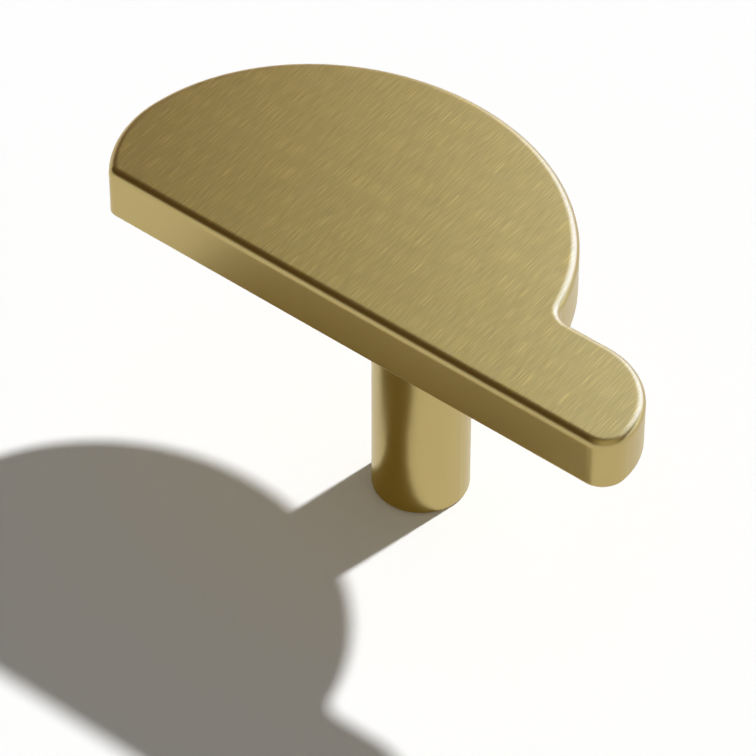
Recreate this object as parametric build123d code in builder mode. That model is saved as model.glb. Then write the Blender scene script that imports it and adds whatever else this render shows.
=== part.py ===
"""Cabinet knob in one piece: a flat, cloud-shaped brass head on a round stem with a screw hole in its foot.

Millimetres. The origin is the centre of the stem's foot, where the foot meets the door.
+Z runs along the stem towards the head, +X along the head's straight edge, and +Y from that
edge towards the crown of the dome.
"""

import os
from math import radians, tan

from build123d import *

# Head, seen from the front: the lobe's reach is how far it stands out past the dome
head_depth = 30.5
head_thickness = 6.0
dome_half_width = 25.0
dome_half_depth = 22.9
lobe_reach = 14.65
lobe_depth = 11.3

# The dome turns in at its left with a tighter arc, whose lowest point lies below the straight edge,
# so that the two meet in a corner
turn_in_radius = 12.8
turn_in_drop = 4.1

# Corners of the head's outline
dome_corner_radius = 1.2
lobe_corner_radius = 2.65
lobe_end_flat = 0.25
notch_radius = 2.2

# Rounded rims round the head's front and back faces
front_rim_radius = 0.8
back_rim_radius = 0.4

# Stem
projection = 35.0
stem_diameter = 10.0
stem_to_straight_edge = 12.95
stem_to_lobe_end = 32.25
stem_root_radius = 0.8
foot_edge_break = 0.2

# Blind M4 hole in the foot: its wall is cut at the thread's outer diameter, and the drill runs deeper
thread_diameter = 4.0
threaded_depth = 12.0
tapping_drill_diameter = 3.3
tap_run_out = 2.0
drill_point_angle = 118.0
lead_in_diameter = 4.6
lead_in_angle = 90.0

# Places and sizes that follow
head_back_z = projection - head_thickness
straight_edge_y = -stem_to_straight_edge
lobe_length = dome_half_width + lobe_reach
dome_centre_x = stem_to_lobe_end - lobe_length
dome_centre_y = straight_edge_y + head_depth - dome_half_depth
lobe_top_y = straight_edge_y + lobe_depth
lobe_shoulder_radius = lobe_depth - lobe_corner_radius - lobe_end_flat
stem_radius = stem_diameter / 2
thread_radius = thread_diameter / 2
drill_radius = tapping_drill_diameter / 2
drilled_depth = threaded_depth + tap_run_out
drill_point_depth = drill_radius / tan(radians(drill_point_angle / 2))
lead_in_radius = lead_in_diameter / 2
lead_in_depth = (lead_in_radius - thread_radius) / tan(radians(lead_in_angle / 2))

with BuildPart() as knob:
    # Outline of the head: an oval dome cut off by the straight edge, with a low lobe at its right
    with BuildSketch(Plane.XY.offset(head_back_z)) as outline:
        with Locations((dome_centre_x, dome_centre_y)):
            Ellipse(dome_half_width, dome_half_depth)
        with Locations((dome_centre_x, straight_edge_y - turn_in_drop)):
            Rectangle(
                2 * dome_half_width,
                2 * dome_half_depth,
                align=(Align.CENTER, Align.MAX),
                mode=Mode.SUBTRACT,
            )
        turn_in = outline.vertices().group_by(Axis.Y)[0].sort_by(Axis.X)[0]
        fillet(turn_in, turn_in_radius)
        with Locations((dome_centre_x, straight_edge_y)):
            Rectangle(
                2 * dome_half_width,
                2 * dome_half_depth,
                align=(Align.CENTER, Align.MAX),
                mode=Mode.SUBTRACT,
            )
            Rectangle(lobe_length, lobe_depth, align=(Align.MIN, Align.MIN))
        dome_corner = outline.vertices().group_by(Axis.Y)[0].sort_by(Axis.X)[0]
        fillet(dome_corner, dome_corner_radius)
        notch = outline.vertices().sort_by_distance((dome_centre_x + dome_half_width, lobe_top_y))[0]
        fillet(notch, notch_radius)
        lobe_shoulder = outline.vertices().group_by(Axis.X)[-1].sort_by(Axis.Y)[-1]
        fillet(lobe_shoulder, lobe_shoulder_radius)
        lobe_corner = outline.vertices().group_by(Axis.X)[-1].sort_by(Axis.Y)[0]
        fillet(lobe_corner, lobe_corner_radius)
    extrude(amount=head_thickness)

    # Rounded rims
    front_face = knob.faces().sort_by(Axis.Z)[-1]
    fillet(front_face.edges(), front_rim_radius)
    back_face = knob.faces().sort_by(Axis.Z)[0]
    fillet(back_face.edges(), back_rim_radius)

    # Stem, blended into the back of the head
    with BuildSketch(Plane.XY):
        Circle(stem_radius)
    extrude(amount=head_back_z)
    stem_root = knob.edges(Select.LAST).filter_by(GeomType.CIRCLE).sort_by(Axis.Z)[-1]
    fillet(stem_root, stem_root_radius)
    foot = knob.faces().sort_by(Axis.Z)[0]
    chamfer(foot.edges(), foot_edge_break)

    # Screw hole: lead-in, threaded wall, tapping drill and its point
    with BuildSketch(Plane.XZ):
        with BuildLine():
            Polyline(
                (0, 0),
                (lead_in_radius, 0),
                (thread_radius, lead_in_depth),
                (thread_radius, threaded_depth),
                (drill_radius, threaded_depth),
                (drill_radius, drilled_depth),
                (0, drilled_depth + drill_point_depth),
                close=True,
            )
        make_face()
    revolve(axis=Axis.Z, mode=Mode.SUBTRACT)

knob.part.label = "knob"

os.makedirs("parts", exist_ok=True)
export_step(knob.part, "parts/knob.step")
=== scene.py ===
"""Looks of the brass cabinet knob: its brushed and satin finish, the thread in its foot, the floor,
the lights and the camera. Metres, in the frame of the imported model: the foot's centre is the
origin, +Z runs along the stem to the head, and +X along the head's straight edge."""

from math import atan2, cos, pi, radians, sin, tan

import bmesh
import bpy
from mathutils import Matrix, Vector


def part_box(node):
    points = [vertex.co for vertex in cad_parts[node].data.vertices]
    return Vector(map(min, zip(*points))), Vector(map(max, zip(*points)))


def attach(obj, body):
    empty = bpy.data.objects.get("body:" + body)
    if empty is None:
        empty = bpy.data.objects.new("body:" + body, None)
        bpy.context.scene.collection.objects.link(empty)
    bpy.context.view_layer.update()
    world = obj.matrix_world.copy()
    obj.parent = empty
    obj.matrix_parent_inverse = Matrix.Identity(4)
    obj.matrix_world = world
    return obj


MM = 0.001

# The photo's frame and where it shows the centre of the stem's foot, in pixels
PICTURE_SIDE = 756
FOOT_COLUMN = 420.82
FOOT_ROW = 478.45

# Camera: where it stands as seen from the knob, with azimuth counted from -Y towards +X, how
# strongly it magnifies, and from where to where it sees
CAMERA_AZIMUTH = radians(38.88)
CAMERA_ELEVATION = radians(44.975)
CAMERA_DISTANCE = 506.755 * MM
FOCAL_PIXELS = 5000.0
SENSOR_WIDTH = 36.0
CLIP_START = 0.01
CLIP_END = 20.0

# Key light: where it stands, how wide it looks, and what it adds to the floor's brightness
KEY_DIRECTION = Vector((0.18, 0.97, 1.0)).normalized()
KEY_SPREAD = radians(2.5)
KEY_COLOUR = (0.800, 0.809, 0.825)

# Even fill that lights the floor: for the floor seen straight, and for the floor seen in the metal
FILL_COLOUR = (0.215, 0.206, 0.190)
MIRRORED_FILL_COLOUR = (0.205, 0.131, 0.01)

# Room that the metal reflects. Its pale horizon is full up to the first height and gone at the
# second, where a height is the Z of a unit direction.
ROOM_COLOUR = (0.10, 0.048, 0.0)
HORIZON_COLOUR = (1.0, 1.0, 1.0)
HORIZON_HEIGHTS = (0.10, 0.38)

# Room looked at from below the floor. In the metal it shows on the side with no panels: fully
# below the first Y of a unit direction, and not at all above the second.
BELOW_COLOUR = (0.72, 0.72, 0.72)
PANEL_FREE_SIDE = (-0.15, 0.05)

# Broad soft glow high over the near right: how far from its middle it starts and is full
GLOW_AZIMUTH = radians(327)
GLOW_ELEVATION = radians(50)
GLOW_COLOUR = (0.70, 0.62, 0.42)
GLOW_START = radians(52)
GLOW_FULL = radians(15)

# Point that the soft panels face: the middle of the head's front
PANEL_TARGET = Vector((0.0, 0.0, 35 * MM))

# Floor: its colour, half its width, and how far it lies below the foot
FLOOR_COLOUR = (0.97, 0.97, 0.97)
FLOOR_HALF_WIDTH = 6.0
FLOOR_DROP = 0.02 * MM

# Brass, and its darkest and lightest shade as shares of its colour
BRASS_COLOUR = (0.468, 0.385, 0.172)
# Brushed face: its streaks and scratches are grain, but the shares sit high, so on average the face
# is painted lighter than the sides, a painted lift of light on the top face
FACE_GRAIN_AND_PAINTED_LIFT_SHADES = (0.95, 1.34)
SIDE_SHADES = (0.985, 1.015)
FOOT_SHADES = (0.88, 1.06)
THREAD_SHADES = (0.9, 1.05)

# Roughness where its noise is low and where it is high, and what the front rim adds
FACE_ROUGHNESS = (0.404, 0.374)
SIDE_ROUGHNESS = (0.29, 0.31)
THREAD_ROUGHNESS = (0.22, 0.34)
RIM_EXTRA_ROUGHNESS = 0.02

# Where each finish ends, below the head's front or above the foot: how far it is whole, and how
# far it fades
FACE_END = 0.02 * MM
FACE_FADE = 0.12 * MM
FRONT_RIM_RADIUS = 0.8 * MM
RIM_FADE = 1.5 * FRONT_RIM_RADIUS
FOOT_END = 0.01 * MM
FOOT_FADE = 0.02 * MM

# Ranges of a noise's value: where most of it lies, a narrower one for more contrast, and a high one
# that makes scratches
NOISE_SPREAD = (0.3, 0.7)
SHARP_SPREAD = (0.35, 0.65)
SCRATCH_SPREAD = (0.62, 0.74)

# Brushed face: how far its grain is turned from the head's depth, the width and length of its
# streaks, the share of the fine ones, and how much lighter streaks and scratches look
GRAIN_TURN = radians(2.7)
FINE_STREAK = (0.065 * MM, 2.4 * MM)
BROAD_STREAK = (0.5 * MM, 7.0 * MM)
SCRATCH_STREAK = (0.07 * MM, 3.2 * MM)
FINE_SHARE = 0.92
STREAK_LIGHTNESS = (0.05, 0.45)
SCRATCH_LIGHTNESS = 0.9

# Fineness of the other noises
SATIN_SCALE = 3500.0
MOTTLE_SCALE = 70.0
MARKS_SCALE = 4500.0

# Relief: its height for the face's grain, how strong satin and the foot's rings are against that,
# and how softly the front rim runs into the face
RELIEF_HEIGHT = 0.008 * MM
SATIN_RELIEF = 0.1
FOOT_RELIEF = 2.5
RIM_SOFTNESS = 0.4 * MM
RIM_SAMPLES = 8

# Screw thread, M4: a ridge on the wall of the hole, sunk into it at both ends
HOLE_RADIUS = 2.0 * MM
THREAD_PITCH = 0.7 * MM
THREAD_ROOT_RADIUS = 2.03 * MM
THREAD_CREST_RADIUS = 1.63 * MM
THREAD_FLANK = radians(30)
RIDGE_SHARE_OF_PITCH = 7 / 8
THREAD_START = 0.75 * MM
THREAD_TURNS = 15
STEPS_PER_TURN = 36
RUN_OUT_TURNS = 0.25
LEAST_RIDGE = 0.02

# Where a Mix node of each kind has its two inputs and its output
MIX_SOCKETS = {"FLOAT": (2, 3, 0), "VECTOR": (4, 5, 1), "RGBA": (6, 7, 2)}


def pointing(azimuth, elevation):
    """Unit direction from the knob, with azimuth counted from +X towards +Y."""
    return Vector((cos(azimuth) * cos(elevation), sin(azimuth) * cos(elevation), sin(elevation)))


def opaque(colour, share=1.0):
    """This share of a colour, with full alpha."""
    return (*[channel * share for channel in colour], 1.0)


def add_object(name, data):
    """An object with this data, in the scene."""
    thing = bpy.data.objects.new(name, data)
    bpy.context.scene.collection.objects.link(thing)
    return thing


def add_node(tree, kind, settings=None, inputs=None):
    """A node of this kind in the tree, with its settings and the values or links of its inputs."""
    node = tree.nodes.new(kind)
    for name, value in (settings or {}).items():
        setattr(node, name, value)
    for name, value in (inputs or {}).items():
        if isinstance(value, bpy.types.NodeSocket):
            tree.links.new(value, node.inputs[name])
        else:
            node.inputs[name].default_value = value
    return node


def add_math(tree, operation, first, second):
    """The result of a sum on two values or links."""
    inputs = {0: first, 1: second}
    return add_node(tree, "ShaderNodeMath", {"operation": operation}, inputs).outputs["Value"]


def add_weighted(tree, base, value, weight):
    """The base plus this value times its weight."""
    return add_math(tree, "ADD", base, add_math(tree, "MULTIPLY", value, weight))


def add_range(tree, value, start, end, low=0.0, high=1.0):
    """Value taken smoothly from low to high as it goes from start to end."""
    settings = {"interpolation_type": "SMOOTHSTEP"}
    inputs = {"Value": value, "From Min": start, "From Max": end, "To Min": low, "To Max": high}
    return add_node(tree, "ShaderNodeMapRange", settings, inputs).outputs["Result"]


def add_mix(tree, factor, first, second, kind="RGBA"):
    """Blend of two values, two vectors or two colours."""
    a, b, result = MIX_SOCKETS[kind]
    inputs = {0: factor, a: first, b: second}
    return add_node(tree, "ShaderNodeMix", {"data_type": kind}, inputs).outputs[result]


def add_noise(tree, place, scale, detail=2.0, roughness=0.5, dimensions="3D"):
    """Noise of this fineness at the place."""
    settings = {"noise_dimensions": dimensions}
    inputs = {"Vector": place, "Scale": scale, "Detail": detail, "Roughness": roughness}
    return add_node(tree, "ShaderNodeTexNoise", settings, inputs).outputs["Fac"]


def add_streaks(tree, place, width, length, detail):
    """Noise drawn out along Y: streaks of about this width and length."""
    shrink = {"Vector": place, "Scale": (1 / width, 1 / length, 1 / width)}
    stretched = add_node(tree, "ShaderNodeMapping", inputs=shrink).outputs["Vector"]
    return add_noise(tree, stretched, 1.0, detail, roughness=0.6, dimensions="2D")


def add_shades(tree, factor, shares):
    """Brass from its darkest shade to its lightest, as the factor goes from 0 to 1."""
    darkest, lightest = shares
    return add_mix(tree, factor, opaque(BRASS_COLOUR, darkest), opaque(BRASS_COLOUR, lightest))


def camera_axes():
    """The camera's right, up and backward directions."""
    back = Vector((
        sin(CAMERA_AZIMUTH) * cos(CAMERA_ELEVATION),
        -cos(CAMERA_AZIMUTH) * cos(CAMERA_ELEVATION),
        sin(CAMERA_ELEVATION),
    ))
    right = Vector((cos(CAMERA_AZIMUTH), sin(CAMERA_AZIMUTH), 0.0))
    return right, back.cross(right), back


def make_camera():
    """Camera that puts the foot's centre where the photo has it, with no shift."""
    right, up, back = camera_axes()
    metres_per_pixel = CAMERA_DISTANCE / FOCAL_PIXELS
    place = (
        back * CAMERA_DISTANCE
        - right * (FOOT_COLUMN - PICTURE_SIDE / 2) * metres_per_pixel
        + up * (FOOT_ROW - PICTURE_SIDE / 2) * metres_per_pixel
    )
    data = bpy.data.cameras.new("camera")
    data.sensor_width = SENSOR_WIDTH
    data.lens = FOCAL_PIXELS / PICTURE_SIDE * SENSOR_WIDTH
    data.clip_start = CLIP_START
    data.clip_end = CLIP_END
    camera = add_object("camera", data)
    turn = Matrix((right, up, back)).transposed()
    camera.matrix_world = Matrix.Translation(place) @ turn.to_4x4()
    bpy.context.scene.camera = camera


def make_world():
    """Studio round the knob: a dark room with a soft glow and a pale horizon, and the floor's
    even fill."""
    world = bpy.data.worlds.new("studio")
    bpy.context.scene.world = world
    world.use_nodes = True
    tree = world.node_tree
    direction = add_node(tree, "ShaderNodeTexCoord").outputs["Generated"]
    parts = add_node(tree, "ShaderNodeSeparateXYZ", inputs={"Vector": direction}).outputs
    path = add_node(tree, "ShaderNodeLightPath").outputs

    nearness = add_node(
        tree,
        "ShaderNodeVectorMath",
        {"operation": "DOT_PRODUCT"},
        {0: direction, 1: pointing(GLOW_AZIMUTH, GLOW_ELEVATION)},
    ).outputs["Value"]
    glow = add_range(tree, nearness, cos(GLOW_START), cos(GLOW_FULL))
    room = add_mix(tree, glow, opaque(ROOM_COLOUR), opaque(GLOW_COLOUR))

    # From below the floor, the camera and the metal see a pale room. A reflection that passes a
    # panel counts as one through the floor, so the metal shows that room on the panel-free side.
    panel_free = add_range(tree, parts["Y"], *PANEL_FREE_SIDE, 1.0, 0.0)
    in_metal_there = add_math(tree, "MULTIPLY", path["Is Glossy Ray"], panel_free)
    in_view = add_math(tree, "MAXIMUM", path["Is Camera Ray"], in_metal_there)
    through_floor = add_math(tree, "MINIMUM", path["Transparent Depth"], 1.0)
    from_below = add_math(tree, "MULTIPLY", through_floor, in_view)
    room = add_mix(tree, from_below, room, opaque(BELOW_COLOUR))
    low = add_range(tree, parts["Z"], *HORIZON_HEIGHTS, 1.0, 0.0)
    seen = add_mix(tree, low, room, opaque(HORIZON_COLOUR))

    in_metal = add_math(tree, "MINIMUM", path["Glossy Depth"], 1.0)
    fill = add_mix(tree, in_metal, opaque(FILL_COLOUR), opaque(MIRRORED_FILL_COLOUR))
    colour = add_mix(tree, path["Is Diffuse Ray"], seen, fill)
    tree.links.new(colour, tree.nodes["Background"].inputs["Color"])


def add_lamp(name, kind, direction, colour, energy):
    """Lamp that faces the knob from this direction. The energy is what a colour of 1 gets."""
    strongest = max(colour)
    data = bpy.data.lights.new(name, kind)
    data.color = [channel / strongest for channel in colour]
    data.energy = strongest * energy
    lamp = add_object(name, data)
    lamp.rotation_mode = "QUATERNION"
    lamp.rotation_quaternion = direction.to_track_quat("Z", "Y")
    return lamp


def make_key():
    """Small far light from behind, which gives the knob its shadow and isn't seen in the metal."""
    key = add_lamp("key", "SUN", KEY_DIRECTION, KEY_COLOUR, pi / KEY_DIRECTION.z)
    key.data.angle = KEY_SPREAD
    key.visible_glossy = False


def make_softbox(name, azimuth, elevation, distance, width, height, colour):
    """Soft panel of this colour that only shows in reflections. Its angles are in degrees."""
    towards = pointing(radians(azimuth), radians(elevation))
    panel = add_lamp(name, "AREA", towards, colour, pi * width * height)
    panel.data.shape = "RECTANGLE"
    panel.data.size = width
    panel.data.size_y = height
    panel.location = towards * distance + PANEL_TARGET
    panel.visible_diffuse = False
    panel.visible_camera = False


def new_material(name):
    """A material, its node tree and its shader."""
    material = bpy.data.materials.new(name)
    material.use_nodes = True
    tree = material.node_tree
    return material, tree, tree.nodes["Principled BSDF"]


def floor_white():
    """White matt floor that can be looked through from below."""
    material, tree, shader = new_material("floor_white")
    shader.inputs["Base Color"].default_value = opaque(FLOOR_COLOUR)
    shader.inputs["Roughness"].default_value = 1.0
    shader.inputs["Specular IOR Level"].default_value = 0.0
    from_below = add_node(tree, "ShaderNodeNewGeometry").outputs["Backfacing"]
    passed = add_node(tree, "ShaderNodeLightPath").outputs["Transparent Depth"]
    open_floor = add_math(tree, "MAXIMUM", from_below, add_math(tree, "MINIMUM", passed, 1.0))
    clear = add_node(tree, "ShaderNodeBsdfTransparent").outputs["BSDF"]
    choice = {0: open_floor, 1: shader.outputs["BSDF"], 2: clear}
    mixed = add_node(tree, "ShaderNodeMixShader", inputs=choice).outputs["Shader"]
    tree.links.new(mixed, tree.nodes["Material Output"].inputs["Surface"])
    return material


def make_floor():
    """Wide floor just under the foot."""
    mesh = bpy.data.meshes.new("floor")
    bm = bmesh.new()
    bmesh.ops.create_grid(bm, x_segments=1, y_segments=1, size=FLOOR_HALF_WIDTH)
    bmesh.ops.translate(bm, verts=bm.verts, vec=(0.0, 0.0, -FLOOR_DROP))
    bm.to_mesh(mesh)
    bm.free()
    floor = add_object("floor", mesh)
    mesh.materials.append(floor_white())


def cutting_marks():
    """Node group: rings left by the cutting tool, round the stem's axis."""
    tree = bpy.data.node_groups.new("cutting_marks", "ShaderNodeTree")
    tree.interface.new_socket("Place", in_out="INPUT", socket_type="NodeSocketVector")
    tree.interface.new_socket("Marks", in_out="OUTPUT", socket_type="NodeSocketFloat")
    place = tree.nodes.new("NodeGroupInput").outputs["Place"]
    parts = add_node(tree, "ShaderNodeSeparateXYZ", inputs={"Vector": place}).outputs
    across = {"X": parts["X"], "Y": parts["Y"]}
    flat = add_node(tree, "ShaderNodeCombineXYZ", inputs=across).outputs["Vector"]
    length = {"operation": "LENGTH"}
    radius = add_node(tree, "ShaderNodeVectorMath", length, {0: flat}).outputs["Value"]
    along = {"X": radius, "Y": parts["Z"]}
    rings = add_node(tree, "ShaderNodeCombineXYZ", inputs=along).outputs["Vector"]
    noise = add_noise(tree, rings, MARKS_SCALE, roughness=0.6, dimensions="2D")
    result = tree.nodes.new("NodeGroupOutput")
    tree.links.new(noise, result.inputs["Marks"])
    return tree


def add_marks(tree, marks, place):
    """The cutting marks at this place in a material."""
    group = {"node_tree": marks}
    return add_node(tree, "ShaderNodeGroup", group, {"Place": place}).outputs["Marks"]


def brushed_grain(tree, place):
    """Grain of the brushed face, and how light it looks with its scratches."""
    turn = {"Vector": place, "Rotation": (0.0, 0.0, -GRAIN_TURN)}
    turned = add_node(tree, "ShaderNodeMapping", inputs=turn).outputs["Vector"]
    fine = add_streaks(tree, turned, *FINE_STREAK, detail=1.0)
    broad = add_streaks(tree, turned, *BROAD_STREAK, detail=1.0)
    scratches = add_streaks(tree, turned, *SCRATCH_STREAK, detail=0.0)
    fine_part = add_math(tree, "MULTIPLY", fine, FINE_SHARE)
    grain = add_weighted(tree, fine_part, broad, 1.0 - FINE_SHARE)
    even = add_range(tree, grain, *NOISE_SPREAD, *STREAK_LIGHTNESS)
    scratched = add_range(tree, scratches, *SCRATCH_SPREAD)
    return grain, add_weighted(tree, even, scratched, SCRATCH_LIGHTNESS)


def satin_brass(head_top, marks):
    """Brass with a brushed front face, turned rings on the foot, and satin everywhere else."""
    material, tree, shader = new_material("satin_brass")
    shader.inputs["Metallic"].default_value = 1.0
    place = add_node(tree, "ShaderNodeTexCoord").outputs["Object"]
    height = add_node(tree, "ShaderNodeSeparateXYZ", inputs={"Vector": place}).outputs["Z"]
    on_face = add_range(tree, height, head_top - FACE_FADE, head_top - FACE_END)
    on_rim = add_range(tree, height, head_top - RIM_FADE, head_top - FRONT_RIM_RADIUS)
    on_foot = add_range(tree, height, FOOT_END, FOOT_FADE, 1.0, 0.0)

    grain, lightness = brushed_grain(tree, place)
    satin = add_noise(tree, place, SATIN_SCALE)
    mottle = add_noise(tree, place, MOTTLE_SCALE)
    rings = add_marks(tree, marks, place)

    face_roughness = add_range(tree, grain, *NOISE_SPREAD, *FACE_ROUGHNESS)
    side_roughness = add_range(tree, satin, *NOISE_SPREAD, *SIDE_ROUGHNESS)
    rim_roughness = add_weighted(tree, side_roughness, on_rim, RIM_EXTRA_ROUGHNESS)
    roughness = add_mix(tree, on_face, rim_roughness, face_roughness, "FLOAT")
    tree.links.new(roughness, shader.inputs["Roughness"])

    # Grain shades of the face, lifted above the sides' shade as painted light on the top face
    face_grain_and_painted_lift = add_shades(tree, lightness, FACE_GRAIN_AND_PAINTED_LIFT_SHADES)
    side_colour = add_shades(tree, add_range(tree, mottle, *NOISE_SPREAD), SIDE_SHADES)
    foot_colour = add_shades(tree, add_range(tree, rings, *SHARP_SPREAD), FOOT_SHADES)
    plain_colour = add_mix(tree, on_foot, side_colour, foot_colour)
    colour = add_mix(tree, on_face, plain_colour, face_grain_and_painted_lift)
    tree.links.new(colour, shader.inputs["Base Color"])

    # The rim runs softly into the face
    reach = {"Radius": RIM_SOFTNESS}
    soft = add_node(tree, "ShaderNodeBevel", {"samples": RIM_SAMPLES}, reach).outputs["Normal"]
    own = add_node(tree, "ShaderNodeNewGeometry").outputs["Normal"]
    normal = add_mix(tree, on_rim, own, soft, "VECTOR")

    relief = add_weighted(tree, add_math(tree, "MULTIPLY", grain, on_face), satin, SATIN_RELIEF)
    foot_relief = add_math(tree, "MULTIPLY", rings, FOOT_RELIEF)
    relief = add_weighted(tree, relief, foot_relief, on_foot)
    bumps = {"Height": relief, "Distance": RELIEF_HEIGHT, "Strength": 1.0, "Normal": normal}
    bump = add_node(tree, "ShaderNodeBump", inputs=bumps)
    tree.links.new(bump.outputs["Normal"], shader.inputs["Normal"])
    return material


def cut_brass(marks):
    """Brass as the thread's tap leaves it."""
    material, tree, shader = new_material("cut_brass")
    shader.inputs["Metallic"].default_value = 1.0
    place = add_node(tree, "ShaderNodeTexCoord").outputs["Object"]
    rings = add_marks(tree, marks, place)
    colour = add_shades(tree, add_range(tree, rings, *NOISE_SPREAD), THREAD_SHADES)
    tree.links.new(colour, shader.inputs["Base Color"])
    roughness = add_range(tree, rings, *NOISE_SPREAD, *THREAD_ROUGHNESS)
    tree.links.new(roughness, shader.inputs["Roughness"])
    bumps = {"Height": rings, "Distance": RELIEF_HEIGHT, "Strength": 1.0}
    bump = add_node(tree, "ShaderNodeBump", inputs=bumps)
    tree.links.new(bump.outputs["Normal"], shader.inputs["Normal"])
    return material


def taper_ends(bm):
    """Sinks both ends of the thread's ridge into the hole's wall."""
    for vert in bm.verts:
        part_turn = atan2(vert.co.y, vert.co.x) / (2 * pi)
        climbed = (vert.co.z - THREAD_START) / THREAD_PITCH
        turn = part_turn + round(climbed - part_turn)
        share = min(1.0, max(LEAST_RIDGE, min(turn, THREAD_TURNS - turn) / RUN_OUT_TURNS))
        radius = Vector((vert.co.x, vert.co.y)).length
        scale = (THREAD_ROOT_RADIUS + (radius - THREAD_ROOT_RADIUS) * share) / radius
        vert.co.x *= scale
        vert.co.y *= scale


def make_thread(marks):
    """Helical ridge of the screw thread, tapered into the hole's wall at both ends."""
    slope = tan(THREAD_FLANK)
    root_half = THREAD_PITCH * RIDGE_SHARE_OF_PITCH / 2 + (THREAD_ROOT_RADIUS - HOLE_RADIUS) * slope
    crest_half = root_half - (THREAD_ROOT_RADIUS - THREAD_CREST_RADIUS) * slope
    section = (
        (THREAD_ROOT_RADIUS, -root_half),
        (THREAD_CREST_RADIUS, -crest_half),
        (THREAD_CREST_RADIUS, crest_half),
        (THREAD_ROOT_RADIUS, root_half),
    )
    bm = bmesh.new()
    corners = [bm.verts.new((radius, 0.0, THREAD_START + rise)) for radius, rise in section]
    first = bm.faces.new(corners)
    bmesh.ops.spin(
        bm,
        geom=[first],
        cent=(0.0, 0.0, 0.0),
        axis=(0.0, 0.0, 1.0),
        dvec=(0.0, 0.0, THREAD_PITCH / STEPS_PER_TURN),
        angle=2 * pi * THREAD_TURNS,
        steps=THREAD_TURNS * STEPS_PER_TURN,
        use_duplicate=False,
    )
    taper_ends(bm)
    bmesh.ops.recalc_face_normals(bm, faces=bm.faces)
    mesh = bpy.data.meshes.new("screw_thread")
    bm.to_mesh(mesh)
    bm.free()
    thread = add_object("screw_thread", mesh)
    mesh.materials.append(cut_brass(marks))
    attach(thread, "root")


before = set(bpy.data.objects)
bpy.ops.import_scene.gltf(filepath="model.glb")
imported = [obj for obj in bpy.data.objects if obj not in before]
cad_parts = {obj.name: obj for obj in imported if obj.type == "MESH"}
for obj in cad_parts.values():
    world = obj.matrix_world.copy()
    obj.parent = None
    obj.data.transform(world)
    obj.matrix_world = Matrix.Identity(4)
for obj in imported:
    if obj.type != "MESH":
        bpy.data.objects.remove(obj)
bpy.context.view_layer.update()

make_camera()
make_world()
make_key()

# Soft panels: two high behind the knob, a weak one low behind it, and one far off to its right
make_softbox(
    "softbox_warm",
    azimuth=89.9,
    elevation=34.1,
    distance=0.479,
    width=0.474,
    height=0.420,
    colour=(2.04, 1.93, 0.0),
)
make_softbox(
    "softbox_cool",
    azimuth=88.5,
    elevation=30.3,
    distance=0.469,
    width=0.385,
    height=0.350,
    colour=(0.0, 0.668, 5.45),
)
make_softbox(
    "softbox_low",
    azimuth=102.3,
    elevation=6.8,
    distance=0.227,
    width=1.185,
    height=0.325,
    colour=(0.10, 0.02, 0.0),
)
make_softbox(
    "softbox_right",
    azimuth=51.4,
    elevation=9.6,
    distance=1.536,
    width=0.454,
    height=0.452,
    colour=(1.481, 1.97, 2.46),
)

make_floor()

head_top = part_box("knob")[1][2]
marks = cutting_marks()
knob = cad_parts["knob"]
knob.data.materials.clear()
knob.data.materials.append(satin_brass(head_top, marks))
make_thread(marks)

bpy.context.scene.view_settings.view_transform = "Standard"
